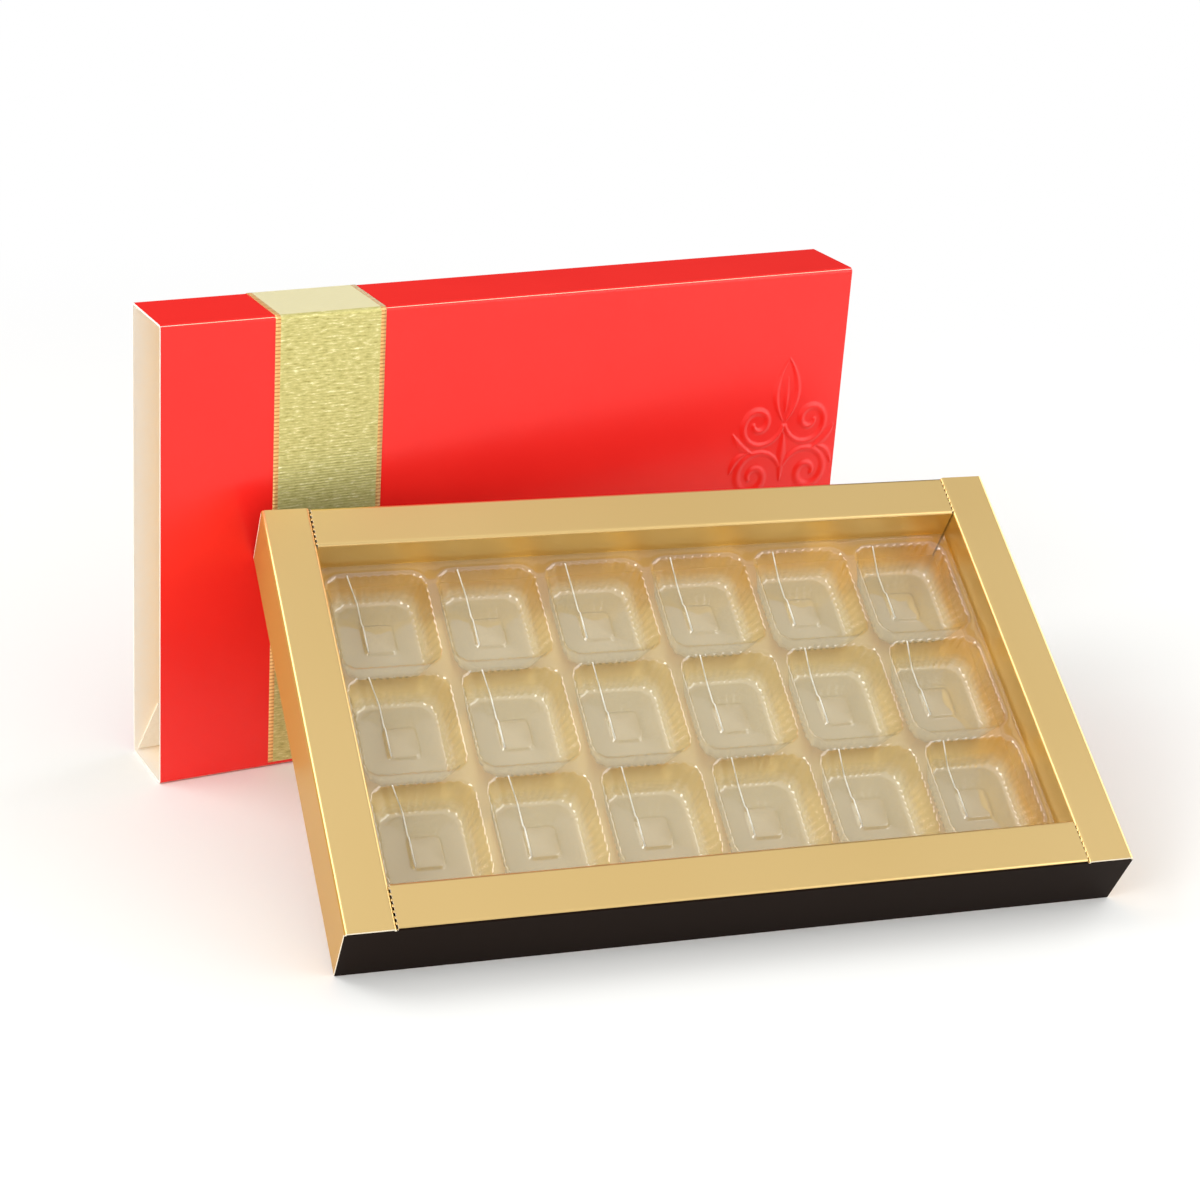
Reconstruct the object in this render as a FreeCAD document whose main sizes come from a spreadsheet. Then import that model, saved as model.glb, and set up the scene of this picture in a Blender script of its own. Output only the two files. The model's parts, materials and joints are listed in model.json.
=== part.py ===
"""Sleeved chocolate box: a folded card tray with a clear moulded insert, leaning on its slip sleeve.

Millimetres, +Z up, origin under the middle of the standing sleeve. Sizes run from the chocolate outwards:
cups make the insert, the insert makes the tray's opening, the tray makes the sleeve.
"""
import FreeCAD
import Part
import Sketcher

import math
import os

SIZES = {
    # the clear insert
    "cups_along": 6,
    "cups_across": 3,
    "cup_length": 21.8,
    "cup_width": 24.0,
    "cup_depth": 10.2,
    "cup_corner_radius": 4.5,
    "cup_wall_slope": 7.5,
    "web_along": 9.8,
    "web_across": 10.8,
    "flange_margin_along": 5.3,
    "flange_margin_across": 6.85,
    "sheet_thickness": 0.4,
    # the folded tray
    "tray_card": 0.6,
    "ledge_width": 13.4,
    "ledge_above_flange": 9.3,
    "rail_foot": 8.0,
    "rail_fold_radius": 1.0,
    "ledge_seam": 0.35,
    "corner_tab_length": 10.0,
    "corner_tab_margin": 2.0,
    # the slip sleeve and its band
    "sleeve_card": 0.6,
    "sleeve_fold_radius": 1.2,
    "sleeve_overhang": 1.0,
    "glue_flap_height": 14.0,
    "glue_flap_slant": 6.0,
    "band_width": 32.8,
    "band_from_end": 32.8,
    "band_thickness": 0.2,
    "band_end_gap": 1.5,
    # fits
    "insert_clearance": 0.4,
    "insert_seat_gap": 0.3,
    "sleeve_clearance": 0.4,
    "lean_gap": 0.3,
    # how the open tray leans on the sleeve
    "tray_tilt": 29.8,
    "tray_yaw": -10.5,
    "tray_shift": 3.0,
}

# Sizes that follow from the ones above, each written as an expression.
FITS = {
    "cup_pitch_along": "Sizes.cup_length + Sizes.web_along",
    "cup_pitch_across": "Sizes.cup_width + Sizes.web_across",
    "insert_length": "Sizes.cups_along * Fits.cup_pitch_along - Sizes.web_along + 2 * Sizes.flange_margin_along",
    "insert_width": "Sizes.cups_across * Fits.cup_pitch_across - Sizes.web_across + 2 * Sizes.flange_margin_across",
    "tray_length": "Fits.insert_length + 2 * (Sizes.insert_clearance + Sizes.ledge_width)",
    "tray_width": "Fits.insert_width + 2 * (Sizes.insert_clearance + Sizes.ledge_width)",
    "flange_top": "Sizes.tray_card + Sizes.insert_seat_gap + Sizes.sheet_thickness + Sizes.cup_depth",
    "tray_height": "Fits.flange_top + Sizes.ledge_above_flange",
    "sleeve_length": "Fits.tray_length + 2 * Sizes.sleeve_overhang",
    "sleeve_height": "Fits.tray_width + 2 * (Sizes.sleeve_clearance + Sizes.sleeve_card)",
    # the glue flap lies inside the back panel, so the sleeve is three cards deep round the tray
    "sleeve_depth": "Fits.tray_height + 2 * Sizes.sleeve_clearance + 3 * Sizes.sleeve_card",
    # the tray's rear left bottom corner stops just short of the sleeve's front and of the band on it
    "corner_reach": "Fits.tray_width * cos(Sizes.tray_tilt * 1 deg) * cos(Sizes.tray_yaw * 1 deg)"
                    " - Fits.tray_length / 2 * sin(Sizes.tray_yaw * 1 deg)",
    "tray_front": "-Fits.sleeve_depth / 2 - Sizes.band_thickness - Sizes.lean_gap - Fits.corner_reach",
}

ON_TRAY = "Fits.tray_stand"
TURNED_ON_TRAY = (
    "Fits.tray_stand * create(<<placement>>; create(<<vector>>; 0; Fits.tray_width; 0);"
    " create(<<rotation>>; 180; 0; 0))"
)
AXES = {"X": 0, "Y": 1, "Z": 2}

doc = FreeCAD.newDocument("ChocolateBox")


def make_sheet():
    """The driving sizes, one alias to a row."""
    sheet = doc.addObject("Spreadsheet::Sheet", "Sizes")
    for row, (name, value) in enumerate(SIZES.items(), start=1):
        sheet.set(f"A{row}", name)
        sheet.set(f"B{row}", str(value))
        sheet.setAlias(f"B{row}", name)
    doc.recompute()


def make_fits():
    """The sizes that follow, and the place where the tray leans: on its front bottom edge."""
    fits = doc.addObject("App::VarSet", "Fits")
    for name, expression in FITS.items():
        fits.addProperty("App::PropertyFloat", name, "Fits")
        fits.setExpression(name, expression)
    fits.addProperty("App::PropertyPlacement", "tray_stand", "Fits")
    fits.setExpression(
        "tray_stand",
        "create(<<placement>>; create(<<vector>>; Sizes.tray_shift; Fits.tray_front; 0);"
        " create(<<rotation>>; Sizes.tray_yaw; 0; Sizes.tray_tilt))",
    )
    doc.recompute()
    return fits


def value(expression):
    """What an expression over the sheet comes to, in millimetres or degrees."""
    found = doc.getObject("Fits").evalExpression(expression)
    return float(getattr(found, "Value", found))


def new_body(label, placement=None):
    body = doc.addObject("PartDesign::Body", label)
    body.Label = label
    if placement:
        body.setExpression("Placement", placement)
    return body


def new_sketch(body, plane, offset="0"):
    """A sketch on one of the body's own planes, moved along that plane's normal by an expression."""
    sketch = body.newObject("Sketcher::SketchObject", f"{body.Name}_outline")
    base = next(f for f in body.Origin.OriginFeatures if f.Role == plane)
    sketch.AttachmentSupport = [(base, "")]
    sketch.MapMode = "FlatFace"
    sketch.setExpression("AttachmentOffset.Base.z", offset)
    return sketch


def pin(sketch, geometry, end, across, up):
    """Holds one end of an edge at a place given by two expressions."""
    for kind, axis, expression in (("DistanceX", -2, across), ("DistanceY", -1, up)):
        if expression == "0":
            sketch.addConstraint(Sketcher.Constraint("PointOnObject", geometry, end, axis))
            continue
        at = sketch.addConstraint(Sketcher.Constraint(kind, -1, 1, geometry, end, value(expression)))
        sketch.setExpression(f"Constraints[{at}]", expression)


def add_polygon(sketch, corners):
    """A closed outline through corners, each a pair of expressions."""
    points = [FreeCAD.Vector(value(across), value(up), 0) for across, up in corners]
    lines = []
    for start, end in zip(points, points[1:] + points[:1]):
        lines.append(sketch.addGeometry(Part.LineSegment(start, end), False))
    for line, following in zip(lines, lines[1:] + lines[:1]):
        sketch.addConstraint(Sketcher.Constraint("Coincident", line, 2, following, 1))
    for line, (across, up) in zip(lines, corners):
        pin(sketch, line, 1, across, up)


def add_round_rectangle(sketch, length, width, radius):
    """A rectangle about the sketch's origin, its corners arcs, from three expressions."""
    half_x, half_y, r = value(length) / 2, value(width) / 2, value(radius)
    vector, up = FreeCAD.Vector, FreeCAD.Vector(0, 0, 1)
    quarter = math.pi / 2
    lines, arcs = [], []
    for start, end in (
        (vector(-half_x + r, -half_y), vector(half_x - r, -half_y)),
        (vector(half_x, -half_y + r), vector(half_x, half_y - r)),
        (vector(half_x - r, half_y), vector(-half_x + r, half_y)),
        (vector(-half_x, half_y - r), vector(-half_x, -half_y + r)),
    ):
        lines.append(sketch.addGeometry(Part.LineSegment(start, end), False))
    for turn, centre in enumerate((
        vector(half_x - r, -half_y + r),
        vector(half_x - r, half_y - r),
        vector(-half_x + r, half_y - r),
        vector(-half_x + r, -half_y + r),
    )):
        arc = Part.ArcOfCircle(Part.Circle(centre, up, r), (turn - 1) * quarter, turn * quarter)
        arcs.append(sketch.addGeometry(arc, False))
    for side in range(4):
        sketch.addConstraint(Sketcher.Constraint("Tangent", lines[side], 2, arcs[side], 1))
        sketch.addConstraint(Sketcher.Constraint("Tangent", arcs[side], 2, lines[(side + 1) % 4], 1))
        sketch.addConstraint(Sketcher.Constraint("Horizontal" if side % 2 == 0 else "Vertical", lines[side]))
    for side in range(1, 4):
        sketch.addConstraint(Sketcher.Constraint("Equal", arcs[0], arcs[side]))
    sketch.addConstraint(Sketcher.Constraint("Symmetric", arcs[0], 3, arcs[2], 3, -1, 1))
    for words, expression in (
        (("Radius", arcs[0], r), radius),
        (("DistanceX", lines[3], 1, lines[1], 1, 2 * half_x), length),
        (("DistanceY", lines[0], 1, lines[2], 1, 2 * half_y), width),
    ):
        at = sketch.addConstraint(Sketcher.Constraint(*words))
        sketch.setExpression(f"Constraints[{at}]", expression)


def pad(body, sketch, length, midplane=False, backwards=False, slope=None):
    feature = body.newObject("PartDesign::Pad", f"{body.Name}_pad")
    feature.Profile = sketch
    feature.setExpression("Length", length)
    feature.Midplane = midplane
    feature.Reversed = backwards
    if slope:
        feature.setExpression("TaperAngle", slope)
    doc.recompute()
    return feature


def pocket(body, sketch, length, backwards=False, slope=None):
    feature = body.newObject("PartDesign::Pocket", f"{body.Name}_pocket")
    feature.Profile = sketch
    feature.setExpression("Length", length)
    feature.Reversed = backwards
    if slope:
        feature.setExpression("TaperAngle", slope)
    doc.recompute()
    return feature


def edges_through(feature, axis, places):
    """Names of the feature's edges that run along an axis through one of the places on the other two."""
    along = AXES[axis]
    others = [i for i in range(3) if i != along]
    names = []
    for number, edge in enumerate(feature.Shape.Edges, start=1):
        ends = [vertex.Point for vertex in edge.Vertexes]
        if len(ends) != 2:
            continue
        for place in places:
            if all(abs(end[i] - at) < 1e-4 for end in ends for i, at in zip(others, place)):
                names.append(f"Edge{number}")
    return names


def fold(body, feature, axis, places, radius):
    """Rounds the folds that run along an axis."""
    rounded = body.newObject("PartDesign::Fillet", f"{body.Name}_folds")
    rounded.Base = (feature, edges_through(feature, axis, places))
    rounded.setExpression("Radius", radius)
    doc.recompute()
    return rounded


def rail_section(start, inwards):
    """The folded strip of a tray rail: outer wall, ledge, inner wall and the foot glued to the base."""
    def at(distance):
        return f"{start} {inwards} ({distance})"

    card, height, ledge = "Sizes.tray_card", "Fits.tray_height", "Sizes.ledge_width"
    inner = f"{ledge} - {card}"
    toe = f"{ledge} - Sizes.rail_foot"
    return [
        (at("0"), "0"),
        (at("0"), height),
        (at(ledge), height),
        (at(ledge), card),
        (at(toe), card),
        (at(toe), f"2 * {card}"),
        (at(inner), f"2 * {card}"),
        (at(inner), f"{height} - {card}"),
        (at(card), f"{height} - {card}"),
        (at(card), "0"),
    ]


def long_rail(label, placement):
    """A rail along the tray's length: its outer wall runs on under the short rails' ledges."""
    body = new_body(label, placement)
    section = new_sketch(body, "YZ_Plane")
    add_polygon(section, rail_section("0", "+"))
    rail = pad(body, section, "Fits.tray_length - 2 * (Sizes.ledge_width + Sizes.ledge_seam)", midplane=True)
    height, ledge = value("Fits.tray_height"), value("Sizes.ledge_width")
    rail = fold(body, rail, "X", [(0, height), (ledge, height)], "Sizes.rail_fold_radius")
    wall = new_sketch(body, "YZ_Plane")
    top = "Fits.tray_height - Sizes.rail_fold_radius"
    add_polygon(wall, [("0", "0"), ("Sizes.tray_card", "0"), ("Sizes.tray_card", top), ("0", top)])
    body.Tip = pad(body, wall, "Fits.tray_length", midplane=True)
    return body


def short_rail(label, placement):
    """A rail along the tray's width: its ledge covers the corners, its walls stop at the long walls."""
    body = new_body(label, placement)
    end = "-Fits.tray_length / 2"
    section = new_sketch(body, "XZ_Plane")
    add_polygon(section, rail_section(end, "+"))
    rail = pad(body, section, "Fits.tray_width", backwards=True)
    height = value("Fits.tray_height")
    outer = value(end)
    inner = value(f"{end} + Sizes.ledge_width")
    rail = fold(body, rail, "Y", [(outer, height), (inner, height)], "Sizes.rail_fold_radius")
    top = "Fits.tray_height - Sizes.rail_fold_radius"
    for wall_start in ("0", "-Fits.tray_width + Sizes.tray_card"):
        notch = new_sketch(body, "XZ_Plane", wall_start)
        add_polygon(notch, [
            (end, "0"),
            (f"{end} + Sizes.ledge_width", "0"),
            (f"{end} + Sizes.ledge_width", top),
            (end, top),
        ])
        rail = pocket(body, notch, "Sizes.tray_card")
    body.Tip = rail
    return body


def tray_base():
    """The base panel between the four outer walls."""
    base = doc.addObject("Part::Box", "tray_base")
    base.setExpression("Length", "Fits.tray_length - 2 * Sizes.tray_card")
    base.setExpression("Width", "Fits.tray_width - 2 * Sizes.tray_card")
    base.setExpression("Height", "Sizes.tray_card")
    base.setExpression(
        "Placement",
        "Fits.tray_stand * create(<<placement>>;"
        " create(<<vector>>; Sizes.tray_card - Fits.tray_length / 2; Sizes.tray_card; 0);"
        " create(<<rotation>>; 0; 0; 0))",
    )
    return base


def corner_tab(label, placement, start):
    """A tab of a short wall, turned and glued behind the long wall, inside the hollow rail."""
    tab = doc.addObject("Part::Box", label)
    tab.setExpression("Length", "Sizes.corner_tab_length")
    tab.setExpression("Width", "Sizes.tray_card")
    tab.setExpression("Height", "Fits.tray_height - 2 * Sizes.corner_tab_margin")
    tab.setExpression(
        "Placement",
        f"{placement} * create(<<placement>>;"
        f" create(<<vector>>; {start}; Sizes.tray_card; Sizes.corner_tab_margin);"
        " create(<<rotation>>; 0; 0; 0))",
    )
    return tab


def cup_insert():
    """One moulded sheet: a flange with a grid of sloped cups sunk into it."""
    body = new_body("cup_insert", ON_TRAY)
    middle = "Fits.tray_width / 2"
    flange = new_sketch(body, "XY_Plane", "Fits.flange_top")
    half_length, half_width = "Fits.insert_length / 2", "Fits.insert_width / 2"
    add_polygon(flange, [
        (f"-{half_length}", f"{middle} - {half_width}"),
        (half_length, f"{middle} - {half_width}"),
        (half_length, f"{middle} + {half_width}"),
        (f"-{half_length}", f"{middle} + {half_width}"),
    ])
    pad(body, flange, "Sizes.sheet_thickness", backwards=True)

    # the first cup, at the front left, then the grid of them
    first_x = "-(Sizes.cups_along - 1) / 2 * Fits.cup_pitch_along"
    first_y = f"{middle} - (Sizes.cups_across - 1) / 2 * Fits.cup_pitch_across"
    slope = "-Sizes.cup_wall_slope"
    skin = "Sizes.sheet_thickness / cos(Sizes.cup_wall_slope * 1 deg)"
    cup_features = []
    for grow, deeper in ((skin, "Sizes.sheet_thickness"), ("0", "0")):
        mouth = new_sketch(body, "XY_Plane", "Fits.flange_top")
        mouth.setExpression("AttachmentOffset.Base.x", first_x)
        mouth.setExpression("AttachmentOffset.Base.y", first_y)
        add_round_rectangle(
            mouth,
            f"Sizes.cup_length + 2 * {grow}",
            f"Sizes.cup_width + 2 * {grow}",
            f"Sizes.cup_corner_radius + {grow}",
        )
        if grow == "0":
            cup_features.append(pocket(body, mouth, "Sizes.cup_depth", slope=slope))
        else:
            outside = f"Sizes.cup_depth + {deeper}"
            cup_features.append(pad(body, mouth, outside, backwards=True, slope=slope))
    grid = body.newObject("PartDesign::LinearPattern", "cup_grid")
    grid.Originals = cup_features
    axes = {f.Role: f for f in body.Origin.OriginFeatures}
    grid.Direction = (axes["X_Axis"], [""])
    grid.Direction2 = (axes["Y_Axis"], [""])
    for which, count, pitch in (("", "along", "along"), ("2", "across", "across")):
        setattr(grid, f"Mode{which}", "Spacing")
        setattr(grid, f"Spacings{which}", [-1.0])  # -1: every step follows the pitch
        grid.setExpression(f"Offset{which}", f"Fits.cup_pitch_{pitch}")
        grid.setExpression(f"Occurrences{which}", f"Sizes.cups_{count}")
    body.Tip = grid
    return body


def sleeve_wrap():
    """The slip sleeve: one sheet of card folded into a tube, open at both ends."""
    body = new_body("sleeve_wrap")
    section = new_sketch(body, "YZ_Plane")
    half, top, card = "Fits.sleeve_depth / 2", "Fits.sleeve_height", "Sizes.sleeve_card"
    add_polygon(section, [(f"-{half}", "0"), (half, "0"), (half, top), (f"-{half}", top)])
    inner = f"({half} - {card})"
    add_polygon(section, [
        (f"-{inner}", card),
        (inner, card),
        (inner, f"{top} - {card}"),
        (f"-{inner}", f"{top} - {card}"),
    ])
    tube = pad(body, section, "Fits.sleeve_length", midplane=True)
    corners = [(side * value(half), level) for side in (-1, 1) for level in (0, value(top))]
    tube = fold(body, tube, "X", corners, "Sizes.sleeve_fold_radius")
    levels = (value(card), value(f"{top} - {card}"))
    corners = [(side * value(inner), level) for side in (-1, 1) for level in levels]
    body.Tip = fold(body, tube, "X", corners, "Sizes.sleeve_fold_radius - Sizes.sleeve_card")
    return body


def glue_flap():
    """The sleeve's glue flap, inside its back panel along the bottom fold."""
    body = new_body("sleeve_glue_flap")
    inside = "-(Fits.sleeve_depth / 2 - Sizes.sleeve_card)"
    outline = new_sketch(body, "XZ_Plane", inside)
    low, half = "Sizes.sleeve_fold_radius", "Fits.sleeve_length / 2 - Sizes.sleeve_overhang"
    high = "Sizes.sleeve_card + Sizes.glue_flap_height"
    add_polygon(outline, [
        (f"-({half})", low),
        (half, low),
        (f"{half} - Sizes.glue_flap_slant", high),
        (f"-({half} - Sizes.glue_flap_slant)", high),
    ])
    body.Tip = pad(body, outline, "Sizes.sleeve_card")
    return body


def gold_band():
    """The band laid over the sleeve: up the front, across the top and down the back."""
    body = new_body("gold_band")
    left = "Sizes.band_from_end - Fits.sleeve_length / 2"
    section = new_sketch(body, "YZ_Plane", left)
    half, top = "Fits.sleeve_depth / 2", "Fits.sleeve_height"
    outer, crown = f"({half} + Sizes.band_thickness)", f"{top} + Sizes.band_thickness"
    end = "Sizes.band_end_gap"
    add_polygon(section, [
        (f"-{outer}", end),
        (f"-{outer}", crown),
        (outer, crown),
        (outer, end),
        (half, end),
        (half, top),
        (f"-{half}", top),
        (f"-{half}", end),
    ])
    band = pad(body, section, "Sizes.band_width")
    folds = [(side * value(outer), value(crown)) for side in (-1, 1)]
    band = fold(body, band, "X", folds, "Sizes.sleeve_fold_radius + Sizes.band_thickness")
    folds = [(side * value(half), value(top)) for side in (-1, 1)]
    body.Tip = fold(body, band, "X", folds, "Sizes.sleeve_fold_radius")
    return body


def main():
    make_sheet()
    make_fits()
    near = "Sizes.tray_card - Fits.tray_length / 2"
    far = "Fits.tray_length / 2 - Sizes.tray_card - Sizes.corner_tab_length"
    pieces = [
        sleeve_wrap(),
        glue_flap(),
        gold_band(),
        tray_base(),
        long_rail("front_rail", ON_TRAY),
        long_rail("back_rail", TURNED_ON_TRAY),
        short_rail("left_rail", ON_TRAY),
        short_rail("right_rail", TURNED_ON_TRAY),
        corner_tab("corner_tab_front_left", ON_TRAY, near),
        corner_tab("corner_tab_front_right", ON_TRAY, far),
        corner_tab("corner_tab_back_right", TURNED_ON_TRAY, near),
        corner_tab("corner_tab_back_left", TURNED_ON_TRAY, far),
        cup_insert(),
    ]
    doc.recompute()
    for item in doc.Objects:
        if "Invalid" in item.State or "Error" in item.State:
            raise RuntimeError(f"{item.Label} did not build: {item.State}")
    os.makedirs("parts", exist_ok=True)
    for piece in pieces:
        if piece.Shape.isNull() or not piece.Shape.isValid():
            raise RuntimeError(f"{piece.Label} has no valid shape")
        piece.Shape.exportStep(f"parts/{piece.Label}.step")
        box = piece.Shape.BoundBox
        print(f"{piece.Label}: {piece.Shape.Volume:.0f} mm3, solids {len(piece.Shape.Solids)}, "
              f"{box.XLength:.1f} x {box.YLength:.1f} x {box.ZLength:.1f} mm")


main()
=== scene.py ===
# %% [markdown]
# # A chocolate box on show
# The part is a slip-sleeve chocolate box: a red card sleeve stands on its long edge, and the open gold tray with its
# clear insert leans against it. The solids come from CAD, and this lesson gives them their finishes. It remodels the
# ribbon and the insert, whose fine form a solid can't hold. It adds what the solids leave out: the pressed ornament,
# the nicks in the tray's seams and a white line in each cup, which is a painted highlight.

# %% Load the imported solids
import json
import math

import bmesh
import bpy
import numpy as np
from mathutils import Matrix, Vector


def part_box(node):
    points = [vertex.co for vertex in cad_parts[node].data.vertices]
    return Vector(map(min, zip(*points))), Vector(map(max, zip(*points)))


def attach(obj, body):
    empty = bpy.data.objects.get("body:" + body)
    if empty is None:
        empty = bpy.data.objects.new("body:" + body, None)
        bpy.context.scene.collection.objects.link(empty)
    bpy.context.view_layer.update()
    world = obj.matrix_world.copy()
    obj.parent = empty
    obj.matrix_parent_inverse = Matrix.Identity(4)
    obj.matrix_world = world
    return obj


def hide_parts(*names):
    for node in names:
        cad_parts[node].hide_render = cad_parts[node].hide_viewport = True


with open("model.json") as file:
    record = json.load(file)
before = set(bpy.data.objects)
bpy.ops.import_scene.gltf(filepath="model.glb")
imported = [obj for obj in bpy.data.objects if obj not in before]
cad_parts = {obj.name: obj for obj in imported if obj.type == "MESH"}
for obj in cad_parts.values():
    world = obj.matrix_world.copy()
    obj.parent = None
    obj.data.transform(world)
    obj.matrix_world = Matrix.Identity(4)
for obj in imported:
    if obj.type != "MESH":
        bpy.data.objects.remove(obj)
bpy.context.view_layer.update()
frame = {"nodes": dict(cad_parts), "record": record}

nodes = frame["nodes"]
mm = 0.001
print("solids", sorted(nodes))

# %% [markdown]
# ## Small helpers
# Print colours are known as sRGB hex values, but shaders add up light, so they need linear values. One function turns
# one into the other. A second one adds a shader node with its settings and links, so that a finish reads as a list
# of nodes from its pattern to its surface. The last two start a finish and give it to a solid.

# %% Colour, node and finish helpers
def linear(hex_code):
    """A print colour, as shaders need it."""
    shares = [int(hex_code[i:i + 2], 16) / 255 for i in (1, 3, 5)]
    return (*[s / 12.92 if s <= 0.04045 else ((s + 0.055) / 1.055) ** 2.4 for s in shares], 1.0)


def add(tree, kind, sockets=None, **settings):
    """Adds a node. Sockets are given by name or number, each with a value or with another node's output."""
    node = tree.nodes.new(kind)
    for name, setting in settings.items():
        setattr(node, name, setting)
    for name, given in (sockets or {}).items():
        if isinstance(given, bpy.types.NodeSocket):
            tree.links.new(given, node.inputs[name])
        else:
            node.inputs[name].default_value = given
    return node


def start_finish(name):
    """An empty material: returns it, its node tree and its output node."""
    material = bpy.data.materials.new(name)
    material.use_nodes = True
    material.node_tree.nodes.clear()
    return material, material.node_tree, add(material.node_tree, "ShaderNodeOutputMaterial")


def dress(node_name, finish):
    """Gives a solid its finish in place of the plain one."""
    nodes[node_name].data.materials.clear()
    nodes[node_name].data.materials.append(finish)


print("the sleeve's brightest red in linear light", [round(c, 3) for c in linear("#FC271F")])

# %% [markdown]
# ## The camera
# The photograph was taken from the front left, looking down. The place and the lens come from a fit to the corners of
# the sleeve and the tray, and the camera is rolled by a few degrees, as a hand-held one is. A camera looks along its
# own -Z with +Y up, so its three axes go into one matrix.

# %% Set up the camera
camera_spot = Vector((-0.33241, -0.65562, 0.34689))
camera_right = Vector((0.88258, -0.46565, 0.06497))
camera_up = Vector((0.12728, 0.36966, 0.92041))
camera_back = camera_right.cross(camera_up)

camera_data = bpy.data.cameras.new("camera")
camera_data.sensor_width = 36.0
camera_data.lens = 78.70
camera = bpy.data.objects.new("camera", camera_data)
bpy.context.scene.collection.objects.link(camera)
turn = Matrix((camera_right, camera_up, camera_back)).transposed()
camera.matrix_world = Matrix.Translation(camera_spot) @ turn.to_4x4()
bpy.context.scene.camera = camera
print("camera looks down by", round(math.degrees(math.asin(camera_back.z)), 1), "degrees")

# %% [markdown]
# ## Floor and light
# The floor is a plain pale sheet. Near the box it is lit as any surface, so it takes the shadow. Further out it fades
# into plain white for the camera and for reflections, because a photographer's sheet is bright right to its edge.
# The light is a soft room: a dome with a pale ceiling, which the gold ledges mirror, a window at the left, a broad
# lamp at the front right that lights the red panel, and two weaker ones at the right and the left that draw the thin
# lights along the folds of the clear film. All four are large, because gloss mirrors a small lamp as a white spot.

# %% Lay the floor
floor_half = 30.0                        # metres, so that no view shows its edge near the box
floor_drop = 0.1 * mm                    # so that the floor and the box never lie in one plane
lit_radius, white_radius = 0.15, 0.55    # metres: lit as paper within, plain white beyond

floor_mesh = bmesh.new()
bmesh.ops.create_grid(floor_mesh, x_segments=2, y_segments=2, size=floor_half)
bmesh.ops.translate(floor_mesh, vec=(0, 0, -floor_drop), verts=floor_mesh.verts)
floor = bpy.data.objects.new("floor", bpy.data.meshes.new("floor"))
floor_mesh.to_mesh(floor.data)
floor_mesh.free()
bpy.context.scene.collection.objects.link(floor)
print("floor", [round(d, 1) for d in floor.dimensions], "m")

# %% Finish the floor
pale_sheet, tree, output = start_finish("pale_paper_sheet")
place = add(tree, "ShaderNodeTexCoord")
distance = add(tree, "ShaderNodeVectorMath", {0: place.outputs["Object"]}, operation="LENGTH")
fade = add(tree, "ShaderNodeMapRange", {"Value": distance.outputs["Value"], "From Min": lit_radius,
                                        "From Max": white_radius}, interpolation_type="SMOOTHSTEP")
ray = add(tree, "ShaderNodeLightPath")
shiny = add(tree, "ShaderNodeMath", {0: ray.outputs["Is Glossy Ray"], 1: ray.outputs["Is Transmission Ray"]},
            operation="MAXIMUM")
seen = add(tree, "ShaderNodeMath", {0: ray.outputs["Is Camera Ray"], 1: shiny.outputs[0]}, operation="MAXIMUM")
white_share = add(tree, "ShaderNodeMath", {0: fade.outputs["Result"], 1: seen.outputs[0]}, operation="MULTIPLY")
paper = add(tree, "ShaderNodeBsdfDiffuse", {"Color": linear("#F4F4F2")})
plain_white = add(tree, "ShaderNodeEmission", {"Color": (1, 1, 1, 1), "Strength": 1.0})
blend = add(tree, "ShaderNodeMixShader", {0: white_share.outputs[0], 1: paper.outputs[0], 2: plain_white.outputs[0]})
tree.links.new(blend.outputs[0], output.inputs["Surface"])
floor.data.materials.append(pale_sheet)
print("floor fades to white from", lit_radius, "to", white_radius, "m")

# %% Light the room
wall_strength, wall_slope, darkest_wall = 0.34, -0.42, 0.08    # brighter in front of the box than behind it
ceiling_strength, ceiling_falloff = 0.60, 4.0

world = bpy.data.worlds.new("soft_room")
bpy.context.scene.world = world
world.use_nodes = True
tree = world.node_tree
tree.nodes.clear()
direction = add(tree, "ShaderNodeTexCoord")
axes = add(tree, "ShaderNodeSeparateXYZ", {0: direction.outputs["Generated"]})
upward = add(tree, "ShaderNodeMath", {0: axes.outputs["Z"], 1: 0.0}, operation="MAXIMUM")
ceiling = add(tree, "ShaderNodeMath", {0: upward.outputs[0], 1: ceiling_falloff}, operation="POWER")
walls = add(tree, "ShaderNodeMath", {0: axes.outputs["Y"], 1: wall_slope, 2: wall_strength}, operation="MULTIPLY_ADD")
walls = add(tree, "ShaderNodeMath", {0: walls.outputs[0], 1: darkest_wall}, operation="MAXIMUM")
dome = add(tree, "ShaderNodeMath", {0: ceiling.outputs[0], 1: ceiling_strength, 2: walls.outputs[0]},
           operation="MULTIPLY_ADD")
sky = add(tree, "ShaderNodeBackground", {"Color": (1, 0.99, 0.97, 1), "Strength": dome.outputs[0]})
output = add(tree, "ShaderNodeOutputWorld", {"Surface": sky.outputs[0]})
bpy.context.scene.view_settings.view_transform = "Standard"
print("dome: in front", round(wall_strength - wall_slope, 2), "behind", darkest_wall,
      "overhead", round(wall_strength + ceiling_strength, 2))

# %% Hang the lamps
middle_of_tray = Vector((0, -0.08, 0.045))


def add_softbox(name, spot, width, height, watts):
    """A rectangular lamp that faces the middle of the tray. Sizes are in metres."""
    data = bpy.data.lights.new(name, "AREA")
    data.shape = "RECTANGLE"
    data.size, data.size_y, data.energy = width, height, watts
    lamp = bpy.data.objects.new(name, data)
    bpy.context.scene.collection.objects.link(lamp)
    lamp.location = spot
    lamp.rotation_euler = (middle_of_tray - Vector(spot)).to_track_quat("-Z", "Y").to_euler()
    return lamp


lamps = [
    add_softbox("window", (-1.40, -0.66, 0.75), width=0.9, height=1.3, watts=17),
    add_softbox("lamp_front", (0.95, -0.85, 0.50), width=1.3, height=1.0, watts=8),
    add_softbox("lamp_right", (0.92, 0.12, 0.42), width=0.65, height=0.75, watts=3.2),
    add_softbox("lamp_left", (-0.61, 0.286, 0.68), width=0.55, height=0.55, watts=2.8),
]
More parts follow.
